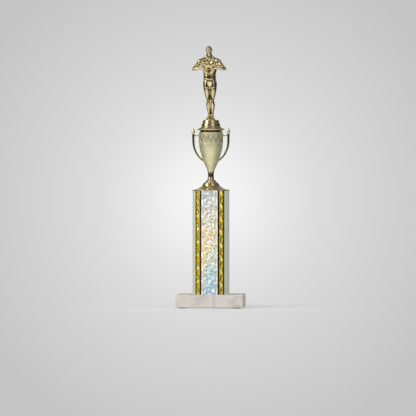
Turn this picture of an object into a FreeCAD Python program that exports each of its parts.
import FreeCAD, Part
import Sketcher
import math
import os
import re
from FreeCAD import Placement, Rotation, Vector

# A figure trophy: a marble foot, a round column wrapped in film, a two-handled cup and a
# figure holding a wreath, all clamped on one threaded rod. Millimetres, +Z up.
# The origin is on the surface that the felt pads stand on, on the axis of the rod.
# The front, with the foil panel and the figure's face, looks along -Y.

SIZES = {
    # felt pads under the foot
    "pad_radius": 6.0, "pad_thick": 1.0, "pad_inset": 10.0,
    # marble foot: a 3 7/8 by 2 1/2 inch slab, 3/4 inch thick
    "base_long": 98.425, "base_deep": 63.5, "base_thick": 19.05, "base_chamfer": 0.8,
    "well_radius": 13.0, "well_depth": 10.5,
    # 1/4 inch rod with its nuts and washers
    "rod_radius": 3.1, "rod_clear": 3.4, "rod_foot": 1.6, "rod_top": 273.2, "rod_chamfer": 0.6,
    "nut_flats": 11.11, "nut_thick": 5.56, "nut_bore": 3.15, "nut_bevel": 0.5,
    "washer_radius": 9.0, "washer_thick": 1.6, "lock_radius": 5.7, "lock_thick": 1.5, "lock_gap": 1.2,
    # column: a 2 1/8 inch paperboard tube, 6 inches long, and what is stuck on it
    "tube_radius": 27.0, "tube_wall": 2.0, "tube_long": 152.4,
    "film_thick": 0.2, "foil_thick": 0.12, "strip_thick": 0.1,
    "panel_angle": 51.8, "tape_angle": 25.2, "strip_angle": 13.9,
    # lid that centres the cup on the tube
    "brim_radius": 27.95, "brim_thick": 0.9, "lid_skirt": 5.0, "lid_skirt_wall": 1.4, "lid_fit": 0.15,
    "lid_top_radius": 12.6, "lid_high": 9.9, "lid_wall": 1.4, "lid_hollow": 34.0,
    # shiny stem of the cup
    "stem_foot_radius": 11.6, "stem_foot_high": 2.3, "stem_bead_radius": 7.6, "stem_bead_high": 4.7,
    "stem_radius": 4.55, "stem_long": 18.05, "spigot_radius": 3.95, "spigot_long": 4.45,
    # bowl of the cup
    "bowl_foot_radius": 4.75, "bowl_high": 58.0, "bowl_radius": 17.7, "bowl_wall": 1.7,
    "bowl_waist_radius": 12.2, "bowl_waist_high": 17.0, "bowl_curve": 66.0, "bowl_flare": 22.0,
    # cover of the cup
    "cover_neck_radius": 17.3, "cover_neck_high": 3.1, "cover_flange_radius": 20.1, "cover_high": 6.6,
    "cover_skirt": 4.0, "cover_wall": 1.5,
    # handles of the cup
    "handle_reach": 25.9, "handle_thick": 3.6, "handle_wide": 5.2, "handle_straight": 10.0,
    "handle_bend": 36.0, "handle_drop": 28.4, "handle_start": 55.0, "link_thick": 2.1,
    "bud_radius": 2.7, "bud_high": 9.4,
    # riser under the figure
    "seat_gap": 0.05, "riser_radius": 15.3, "riser_high": 11.85, "riser_top_radius": 10.6,
    "riser_wall": 1.5, "hub_radius": 8.2, "hub_bore": 3.5, "hub_depth": 9.0, "riser_nut_level": 1.6,
    # figure and wreath
    "figure_high": 109.5, "pin_radius": 2.15, "pin_long": 2.7,
    "wreath_radius": 5.7, "wreath_thick": 1.55, "wreath_forward": 13.6, "wreath_level": 73.1,
}

# Heights at which the pieces stand, as sums of the sizes.
BASE_LEVEL = "pad_thick"
COLUMN_LEVEL = "pad_thick + base_thick"
LID_LEVEL = COLUMN_LEVEL + " + tube_long"
STEM_LEVEL = LID_LEVEL + " + lid_high"
BOWL_LEVEL = STEM_LEVEL + " + stem_long"
COVER_LEVEL = BOWL_LEVEL + " + bowl_high"
RISER_LEVEL = COVER_LEVEL + " + cover_high + seat_gap"
FIGURE_LEVEL = RISER_LEVEL + " + riser_high"
WELL_ROOF = "pad_thick + well_depth"

doc = FreeCAD.newDocument("figure_trophy")
sheet = doc.addObject("Spreadsheet::Sheet", "Sizes")
for row, (alias, number) in enumerate(SIZES.items(), start=1):
    sheet.set("A%d" % row, alias)
    sheet.set("B%d" % row, str(number))
    sheet.setAlias("B%d" % row, alias)
doc.recompute()

pieces = []


def cells(formula):
    """The formula with each size name turned into a reference to the Sizes sheet."""
    return re.sub(r"\b[a-z]+(?:_[a-z]+)+\b", r"Sizes.\g<0>", str(formula))


def size(formula):
    """The number that a formula of size names comes to now."""
    return float(sheet.evalExpression(cells(formula)))


def bind(item, **formulas):
    """Bind properties of a document object to formulas of the sheet's sizes."""
    for name, formula in formulas.items():
        item.setExpression(name, cells(formula))


def raise_to(item, level):
    """Stand an object at a height."""
    item.setExpression("Placement.Base.z", cells(level))


def keep(item, label):
    """Name a finished sub-part and put it on the list to write."""
    item.Label = label
    pieces.append(item)
    return item


def primitive(kind, level=0, turn=None, **formulas):
    """A Part primitive with its sizes bound, standing on the rod's axis."""
    item = doc.addObject(kind, kind.split("::")[1])
    bind(item, **formulas)
    if turn is not None:
        item.Placement = Placement(Vector(0, 0, 0), Rotation(Vector(0, 0, 1), size(turn)))
        item.setExpression("Placement.Rotation.Angle", cells(turn))
    raise_to(item, level)
    return item


def cut(base, tool):
    item = doc.addObject("Part::Cut", "Cut")
    item.Base = base
    item.Tool = tool
    return item


def common(base, tool):
    item = doc.addObject("Part::Common", "Common")
    item.Base = base
    item.Tool = tool
    return item


def fuse(items):
    item = doc.addObject("Part::MultiFuse", "Fuse")
    item.Shapes = items
    return item


def origin_plane(body, role):
    return [part for part in body.Origin.OriginFeatures if part.Role == role][0]


def arc_edge(start, end, radius):
    """A circle's arc from start to end: anticlockwise for a positive radius, else clockwise."""
    chord = end - start
    reach = math.sqrt(radius * radius - chord.Length ** 2 / 4)
    left = Vector(-chord.y, chord.x, 0).normalize()
    centre = (start + end) / 2 + left * math.copysign(reach, radius)
    circle = Part.Circle(centre, Vector(0, 0, 1), abs(radius))
    first, last = (start, end) if radius > 0 else (end, start)
    angles = [math.atan2(p.y - centre.y, p.x - centre.x) for p in (first, last)]
    return Part.ArcOfCircle(circle, angles[0], angles[1])


def outline_sketch(body, name, outline, role="XZ_Plane", closed=True):
    """A sketch of an outline whose corners are pairs of formulas, traced anticlockwise.

    A corner with a third formula is reached by an arc of that radius: a positive one
    swells out of the material, a negative one is hollow. Every corner and radius is bound.
    """
    sketch = body.newObject("Sketcher::SketchObject", name)
    sketch.AttachmentSupport = (origin_plane(body, role), [""])
    sketch.MapMode = "FlatFace"
    corners = [Vector(size(corner[0]), size(corner[1]), 0) for corner in outline]
    count = len(outline) if closed else len(outline) - 1
    ends = []
    for k in range(count):
        after = (k + 1) % len(outline)
        if len(outline[after]) == 3:
            radius = size(outline[after][2])
            edge = sketch.addGeometry(arc_edge(corners[k], corners[after], radius))
            ends.append((edge, 1, 2) if radius > 0 else (edge, 2, 1))
            number = sketch.addConstraint(Sketcher.Constraint("Radius", edge, abs(radius)))
            sketch.setExpression("Constraints[%d]" % number, "abs(%s)" % cells(outline[after][2]))
        else:
            edge = sketch.addGeometry(Part.LineSegment(corners[k], corners[after]))
            ends.append((edge, 1, 2))
    for k in range(count if closed else count - 1):
        edge, _, last = ends[k]
        following, first, _ = ends[(k + 1) % count]
        sketch.addConstraint(Sketcher.Constraint("Coincident", edge, last, following, first))
    places = [(edge, first) for edge, first, _ in ends]
    if not closed:
        places.append((ends[-1][0], ends[-1][2]))
    for (edge, point), corner, spot in zip(places, outline, corners):
        for kind, formula, number in (("DistanceX", corner[0], spot.x), ("DistanceY", corner[1], spot.y)):
            index = sketch.addConstraint(Sketcher.Constraint(kind, -1, 1, edge, point, number))
            sketch.setExpression("Constraints[%d]" % index, cells(formula))
    return sketch


def turned(label, outline, level):
    """A body of revolution about the rod's axis, from an outline of (radius, height) corners."""
    body = doc.addObject("PartDesign::Body", label)
    sketch = outline_sketch(body, label + "_outline", outline)
    turn = body.newObject("PartDesign::Revolution", label + "_turn")
    turn.Profile = sketch
    turn.ReferenceAxis = (sketch, ["V_Axis"])
    turn.Angle = 360
    raise_to(body, level)
    return body


def ring(label, inner, outer, height, level):
    """A plain ring or tube."""
    return turned(label, [(inner, 0), (outer, 0), (outer, height), (inner, height)], level)


def make_foot():
    """Felt pads, and the marble slab with a well underneath for the nut."""
    across = "base_long / 2 - pad_inset"
    along = "base_deep / 2 - pad_inset"
    pads = []
    for sign_x in (-1, 1):
        for sign_y in (-1, 1):
            pad = primitive("Part::Cylinder", Radius="pad_radius", Height="pad_thick")
            pad.setExpression("Placement.Base.x", cells("%d * (%s)" % (sign_x, across)))
            pad.setExpression("Placement.Base.y", cells("%d * (%s)" % (sign_y, along)))
            pads.append(pad)
    keep(fuse(pads), "felt_pads")

    body = doc.addObject("PartDesign::Body", "marble")
    half_long = "base_long / 2"
    half_deep = "base_deep / 2"
    slab_outline = [("-" + half_long, "-" + half_deep), (half_long, "-" + half_deep),
                    (half_long, half_deep), ("-" + half_long, half_deep)]
    slab_sketch = outline_sketch(body, "slab_outline", slab_outline, "XY_Plane")
    slab = body.newObject("PartDesign::Pad", "slab")
    slab.Profile = slab_sketch
    bind(slab, Length="base_thick")
    doc.recompute()
    worn = body.newObject("PartDesign::Chamfer", "worn_edges")
    worn.Base = (slab, ["Edge%d" % (k + 1) for k in range(len(slab.Shape.Edges))])
    bind(worn, Size="base_chamfer")
    hole_outline = [(0, -1), ("rod_clear", -1), ("rod_clear", "base_thick + 1"), (0, "base_thick + 1")]
    well_outline = [(0, -1), ("well_radius", -1), ("well_radius", "well_depth"), (0, "well_depth")]
    for name, outline in (("rod_hole", hole_outline), ("nut_well", well_outline)):
        groove = body.newObject("PartDesign::Groove", name)
        groove.Profile = outline_sketch(body, name + "_outline", outline)
        groove.ReferenceAxis = (groove.Profile[0], ["V_Axis"])
        groove.Angle = 360
    raise_to(body, BASE_LEVEL)
    keep(body, "marble_base")


def hex_nut(label, level):
    """A hexagon nut with its corners bevelled on both faces."""
    corner = "nut_flats / sqrt(3)"
    prism = primitive("Part::Prism", level, Circumradius=corner, Height="nut_thick")
    flat = "%s - nut_bevel" % corner
    shoulder = "nut_bevel / 2"
    bevelled = turned(label + "_bevel", [
        ("nut_bore", 0), (flat, 0), (corner, shoulder), (corner, "nut_thick - " + shoulder),
        (flat, "nut_thick"), ("nut_bore", "nut_thick")], level)
    return keep(common(prism, bevelled), label)


def make_rod_set():
    """The threaded rod from the well to the riser, with its lower washer, lock washer and nut."""
    washer_level = WELL_ROOF + " - washer_thick"
    lock_level = washer_level + " - lock_thick"
    keep(ring("flat_washer", "rod_clear", "washer_radius", "washer_thick", washer_level), "base_washer")
    coil = ring("lock_ring", "rod_clear", "lock_radius", "lock_thick", lock_level)
    slit = primitive("Part::Box", lock_level, Length="lock_radius + 1", Width="lock_gap", Height="lock_thick")
    keep(cut(coil, slit), "base_lock_washer")
    hex_nut("base_nut", lock_level + " - nut_thick")
    rod_long = "rod_top - rod_foot"
    narrow = "rod_radius - rod_chamfer"
    keep(turned("rod", [
        (0, 0), (narrow, 0), ("rod_radius", "rod_chamfer"), ("rod_radius", rod_long + " - rod_chamfer"),
        (narrow, rod_long), (0, rod_long)], "rod_foot"), "tie_rod")


def wrap(label, inner, thick, angle, middle):
    """A strip stuck on the column: a sector of a thin ring, centred on the angle middle."""
    turn = "%s - (%s) / 2" % (middle, angle)
    sector = primitive("Part::Cylinder", COLUMN_LEVEL, turn, Radius="%s + %s" % (inner, thick),
                       Height="tube_long", Angle=angle)
    core = primitive("Part::Cylinder", COLUMN_LEVEL, Radius=inner, Height="tube_long")
    keep(cut(sector, core), label)


def make_column():
    """The tube, its silver film, and the foil panel with a taped gold strip on each side."""
    film_outer = "tube_radius + film_thick"
    tape_outer = film_outer + " + foil_thick"
    front = 270
    keep(ring("tube", "tube_radius - tube_wall", "tube_radius", "tube_long", COLUMN_LEVEL), "column_tube")
    keep(ring("film", "tube_radius", film_outer, "tube_long", COLUMN_LEVEL), "column_film")
    wrap("foil_panel", film_outer, "foil_thick", "panel_angle", front)
    for side, sign in (("left", "-"), ("right", "+")):
        middle = "%d %s (panel_angle + tape_angle) / 2" % (front, sign)
        wrap("side_tape_" + side, film_outer, "foil_thick", "tape_angle", middle)
        wrap("gold_strip_" + side, tape_outer, "strip_thick", "strip_angle", middle)


def make_lid():
    """The moulded lid: a skirt inside the tube, a thin brim and a hollow flare up to the cup."""
    skirt_outer = "tube_radius - tube_wall - lid_fit"
    skirt_inner = skirt_outer + " - lid_skirt_wall"
    shoulder = "lid_high - lid_wall"
    keep(turned("lid", [
        ("rod_clear", shoulder), ("lid_top_radius - 1", shoulder), (skirt_inner, "0.6"),
        (skirt_inner, "-lid_skirt"), (skirt_outer, "-lid_skirt"), (skirt_outer, 0),
        ("brim_radius", 0), ("brim_radius", "brim_thick"), ("brim_radius - 1", "brim_thick + 0.35"),
        ("lid_top_radius + 1.4", "lid_high - 1.6", "-lid_hollow"), ("lid_top_radius + 1", "lid_high - 0.7"),
        ("lid_top_radius", "lid_high", 1.4), ("rod_clear", "lid_high")], LID_LEVEL), "column_lid")


def make_cup():
    """The cup: stem, bowl, cover and two handles, each a separate moulding."""
    keep(turned("stem", [
        ("rod_clear", 0), ("stem_foot_radius", 0), ("stem_foot_radius", 0.7),
        ("stem_foot_radius - 1.3", "stem_foot_high", 3), ("stem_bead_radius", "stem_foot_high + 0.8"),
        ("stem_bead_radius - 1", "stem_bead_high", 0.98), ("stem_radius + 0.15", "2 * stem_bead_high", -9),
        ("stem_radius", "stem_long - 0.5"), ("stem_radius", "stem_long"), ("spigot_radius", "stem_long"),
        ("spigot_radius", "stem_long + spigot_long"), ("rod_clear", "stem_long + spigot_long")],
        STEM_LEVEL), "cup_stem")

    inside = "bowl_radius - bowl_wall"
    keep(turned("bowl", [
        ("spigot_radius", 0), ("bowl_foot_radius", 0), ("bowl_foot_radius + 2.65", 7, "-bowl_flare"),
        ("bowl_waist_radius - 1.5", "bowl_waist_high - 3.1"), ("bowl_waist_radius", "bowl_waist_high", 6),
        ("bowl_waist_radius + 2.2", "bowl_waist_high + 8.6"), ("bowl_radius", 46, "bowl_curve"),
        ("bowl_radius", "bowl_high - 0.7"), ("bowl_radius - 0.7", "bowl_high", 0.7),
        (inside, "bowl_high"), (inside, 46.4),
        ("bowl_waist_radius + 0.6", "bowl_waist_high + 9", "-(bowl_curve - bowl_wall)"),
        ("bowl_waist_radius - 1.5", "bowl_waist_high + 0.4"), ("bowl_foot_radius + 0.9", 7.8),
        ("spigot_radius", 4.6)], BOWL_LEVEL), "cup_bowl")

    plug = inside + " - 0.1"
    ceiling = "cover_high - cover_wall"
    keep(turned("cover", [
        ("rod_clear", ceiling), (plug + " - cover_wall", ceiling), (plug + " - cover_wall", "-cover_skirt"),
        (plug, "-cover_skirt"), (plug, 0), ("cover_neck_radius", 0), ("cover_neck_radius", "cover_neck_high"),
        ("cover_flange_radius - 0.5", "cover_neck_high + 0.6"), ("cover_flange_radius", "cover_neck_high + 1.3"),
        ("cover_flange_radius", "cover_high - 1"), ("cover_flange_radius - 0.8", "cover_high", 1),
        ("rod_clear", "cover_high")], COVER_LEVEL), "cup_cover")

    make_handle("left", -1)
    make_handle("right", 1)


def make_handle(side, sign):
    """One handle: a strap that drops straight and curls in to the bowl, a link and a bud on top."""
    body = doc.addObject("PartDesign::Body", "handle_" + side)
    reach = "%d * handle_reach" % sign
    route = outline_sketch(body, side + "_route", [
        (reach, 0), (reach, "-handle_straight"),
        ("%d * (handle_reach - handle_bend + sqrt(handle_bend ^ 2 - handle_drop ^ 2))" % sign,
         "-handle_straight - handle_drop", "%d * handle_bend" % -sign)], closed=False)
    section = body.newObject("Sketcher::SketchObject", side + "_section")
    section.AttachmentSupport = (origin_plane(body, "XY_Plane"), [""])
    section.MapMode = "FlatFace"
    middle = size(reach)
    wide = size("handle_wide") / 2
    thick = size("handle_thick") / 2
    section.addGeometry(Part.Ellipse(Vector(middle, wide, 0), Vector(middle + thick, 0, 0), Vector(middle, 0, 0)))
    section.exposeInternalGeometry(0)
    for kind, corner, formula in (("DistanceX", 3, reach), ("DistanceY", 3, 0)):
        index = section.addConstraint(Sketcher.Constraint(kind, -1, 1, 0, corner, size(formula)))
        section.setExpression("Constraints[%d]" % index, cells(formula))
    section.addConstraint(Sketcher.Constraint("Vertical", 1))
    for edge, formula in ((1, "handle_wide"), (2, "handle_thick")):
        index = section.addConstraint(Sketcher.Constraint("Distance", edge, size(formula)))
        section.setExpression("Constraints[%d]" % index, cells(formula))
    strap = body.newObject("PartDesign::AdditivePipe", side + "_strap")
    strap.Profile = section
    strap.Spine = route
    bud_foot = "bud_radius * 0.55"
    bud = outline_sketch(body, side + "_bud_outline", [
        (reach, -1.2), ("%s + bud_radius * 0.9" % reach, -1.2), ("%s + %s" % (reach, bud_foot), 0.9),
        ("%s + bud_radius * 0.9" % reach, 3.2, 3), ("%s + 0.5" % reach, "bud_high", 9),
        (reach, "bud_high")])
    bud_line = Part.LineSegment(Vector(middle, 0, 0), Vector(middle, 1, 0))
    axis = bud.addGeometry(bud_line, True)
    bud.addConstraint(Sketcher.Constraint("Vertical", axis))
    bud.addConstraint(Sketcher.Constraint("PointOnObject", 0, 1, axis))
    turn = body.newObject("PartDesign::Revolution", side + "_bud")
    turn.Profile = bud
    turn.ReferenceAxis = (bud, ["Axis0"])
    turn.Angle = 360
    raise_to(body, BOWL_LEVEL + " + handle_start")

    link = primitive("Part::Cylinder", Radius="link_thick / 2", Height="handle_reach - bowl_radius + 1")
    link.Placement = Placement(Vector(0, 0, 0), Rotation(Vector(0, 1, 0), 90 * sign))
    link.setExpression("Placement.Base.x", cells("%d * (bowl_radius - 1)" % sign))
    raise_to(link, BOWL_LEVEL + " + handle_start - link_thick / 2 - 0.6")
    keep(fuse([body, link]), "cup_handle_" + side)


def make_riser():
    """The stepped riser with a hub for the nut that screws the figure down on the rod."""
    body = turned("riser", [
        ("pin_radius", "hub_depth"), ("hub_bore", "hub_depth"), ("hub_bore", 0.4), ("hub_radius", 0.4),
        ("hub_radius", "riser_high - 2.2"), ("riser_top_radius", "riser_high - 2.2"),
        ("riser_radius - 1.7 - riser_wall", 5.6), ("riser_radius - 1.4 - riser_wall", 0),
        ("riser_radius", 0), ("riser_radius", 0.8), ("riser_radius - 1.2", 1.7, 1.1),
        ("riser_radius - 1.55", 2.2), ("riser_radius - 1.7", 5.6), ("riser_radius - 2.4", 6.7, 1.2),
        ("riser_radius - 2.95", 7.3), ("riser_radius - 3.1", "riser_high - 1.95"),
        ("riser_top_radius + 0.7", "riser_high - 0.55", 1.8), ("riser_top_radius", "riser_high"),
        ("pin_radius", "riser_high")], RISER_LEVEL)
    nut_top = "riser_nut_level + nut_thick"
    pocket = primitive("Part::Prism", RISER_LEVEL, Circumradius="nut_flats / sqrt(3)", Height=nut_top)
    keep(cut(body, pocket), "figure_riser")
    hex_nut("riser_nut", RISER_LEVEL + " + riser_nut_level")


# The figure's build, as shares of its height: (across, back, up). Across is mirrored.
LANDMARKS = {
    "heel": (0.023, 0.016, 0.026), "ankle": (0.020, 0.012, 0.070), "calf": (0.031, 0.012, 0.205),
    "knee": (0.027, -0.004, 0.262), "thigh": (0.044, 0.000, 0.400), "hip": (0.048, 0.003, 0.470),
    "shoulder": (0.108, 0.006, 0.772), "elbow": (0.206, -0.055, 0.677),
    "wrist": (0.085, -0.112, 0.676), "knuckles": (0.047, -0.124, 0.688),
}
# Limb stretches: (from, to, radius at the first, radius at the second), as shares of the height.
LIMBS = [
    ("heel", "ankle", 0.0240, 0.0190), ("ankle", "calf", 0.0185, 0.0315), ("calf", "knee", 0.0315, 0.0245),
    ("knee", "thigh", 0.0245, 0.0410), ("thigh", "hip", 0.0410, 0.0440),
    ("shoulder", "elbow", 0.0400, 0.0250), ("elbow", "wrist", 0.0270, 0.0170),
    ("wrist", "knuckles", 0.0170, 0.0200),
]
# Rounded joints between the stretches: (landmark, radius), as shares of the height.
JOINTS = [
    ("ankle", 0.0205), ("calf", 0.0325), ("knee", 0.0262), ("thigh", 0.0418), ("shoulder", 0.0425),
    ("elbow", 0.0285), ("wrist", 0.0190), ("knuckles", 0.0225),
]
# Level slices of the trunk: (up, half width, half depth, back).
TRUNK = [
    (0.435, 0.070, 0.050, 0.006), (0.494, 0.090, 0.058, 0.006), (0.545, 0.081, 0.052, 0.003),
    (0.600, 0.076, 0.048, 0.000), (0.670, 0.090, 0.055, 0.002), (0.740, 0.106, 0.062, 0.004),
    (0.790, 0.105, 0.050, 0.010), (0.825, 0.055, 0.036, 0.012), (0.850, 0.034, 0.032, 0.010),
]


def figure_point(landmark, side):
    across, back, up = LANDMARKS[landmark]
    return Vector(side * across, back, up) * size("figure_high")


def share(number):
    return "%s * figure_high" % number


def limb(start, end, radius_start, radius_end):
    """A tapered stretch of arm or leg between two points of the figure."""
    item = doc.addObject("Part::Cone", "Limb")
    bind(item, Radius1=share(radius_start), Radius2=share(radius_end))
    item.Height = (end - start).Length
    item.Placement = Placement(start, Rotation(Vector(0, 0, 1), end - start))
    return item


def ball(centre, across, deep, high):
    """A rounded mass: an ellipsoid with its three half sizes as shares of the height."""
    item = doc.addObject("Part::Ellipsoid", "Mass")
    bind(item, Radius1=share(high), Radius2=share(across), Radius3=share(deep))
    item.Placement = Placement(centre, Rotation())
    return item


def make_figure():
    """A standing athlete of plain, generic build, arms bent to hold a wreath before the chest."""
    high = size("figure_high")
    slices = []
    for up, half_wide, half_deep, back in TRUNK:
        oval = doc.addObject("Part::Ellipse", "Slice")
        bind(oval, MajorRadius=share(half_wide), MinorRadius=share(half_deep))
        oval.Placement = Placement(Vector(0, back, up) * high, Rotation())
        slices.append(oval)
    trunk = doc.addObject("Part::Loft", "Trunk")
    trunk.Sections = slices
    trunk.Solid = True
    masses = [trunk, ball(Vector(0, -0.004, 0.940) * high, 0.040, 0.048, 0.060)]
    masses.append(limb(Vector(0, 0.010, 0.840) * high, Vector(0, 0.004, 0.915) * high, 0.034, 0.031))
    for side in (-1, 1):
        for first, second, radius_first, radius_second in LIMBS:
            masses.append(limb(figure_point(first, side), figure_point(second, side), radius_first, radius_second))
        for joint, radius in JOINTS:
            masses.append(ball(figure_point(joint, side), radius, radius, radius))
        masses.append(make_shoe(side, high))
    pin = primitive("Part::Cylinder", "-pin_long", Radius="pin_radius", Height="pin_long + 1")
    pad = primitive("Part::Cylinder", 0, Radius="pin_radius + 1.4", Height=1.6)
    figure = fuse(masses + [pin, pad])
    raise_to(figure, FIGURE_LEVEL)
    keep(figure, "figure")

    wreath = doc.addObject("Part::Torus", "Hoop")
    bind(wreath, Radius1="wreath_radius", Radius2="wreath_thick")
    wreath.Placement = Placement(Vector(0, 0, 0), Rotation(Vector(1, 0, 0), 90))
    wreath.setExpression("Placement.Base.y", cells("-wreath_forward"))
    raise_to(wreath, FIGURE_LEVEL + " + wreath_level")
    keep(wreath, "wreath")


def make_shoe(side, high):
    """One foot: an egg-shaped mass cut flat at the sole, toes turned a little outward."""
    foot = ball(Vector(0, 0, 0), 0.028, 0.078, 0.040)
    foot.Placement = Placement(Vector(side * 0.029, -0.030, 0.004) * high, Rotation(Vector(0, 0, 1), 12 * side))
    ground = primitive("Part::Box", "-20", Length=60, Width=60, Height=20)
    ground.setExpression("Placement.Base.x", "-30")
    ground.setExpression("Placement.Base.y", "-30")
    return cut(foot, ground)


make_foot()
make_rod_set()
make_column()
make_lid()
make_cup()
make_riser()
make_figure()

doc.recompute()
for item in doc.Objects:
    if {"Invalid", "Error"} & set(item.State):
        raise RuntimeError("%s did not build: %s" % (item.Label, item.State))
os.makedirs("parts", exist_ok=True)
for item in pieces:
    shape = item.Shape
    if shape.isNull() or not shape.isValid() or not shape.Solids:
        raise RuntimeError("%s has no sound shape" % item.Label)
    print("%-18s solids %d  volume %9.1f" % (item.Label, len(shape.Solids), shape.Volume))
for item in pieces:
    item.Shape.exportStep("parts/%s.step" % item.Label)
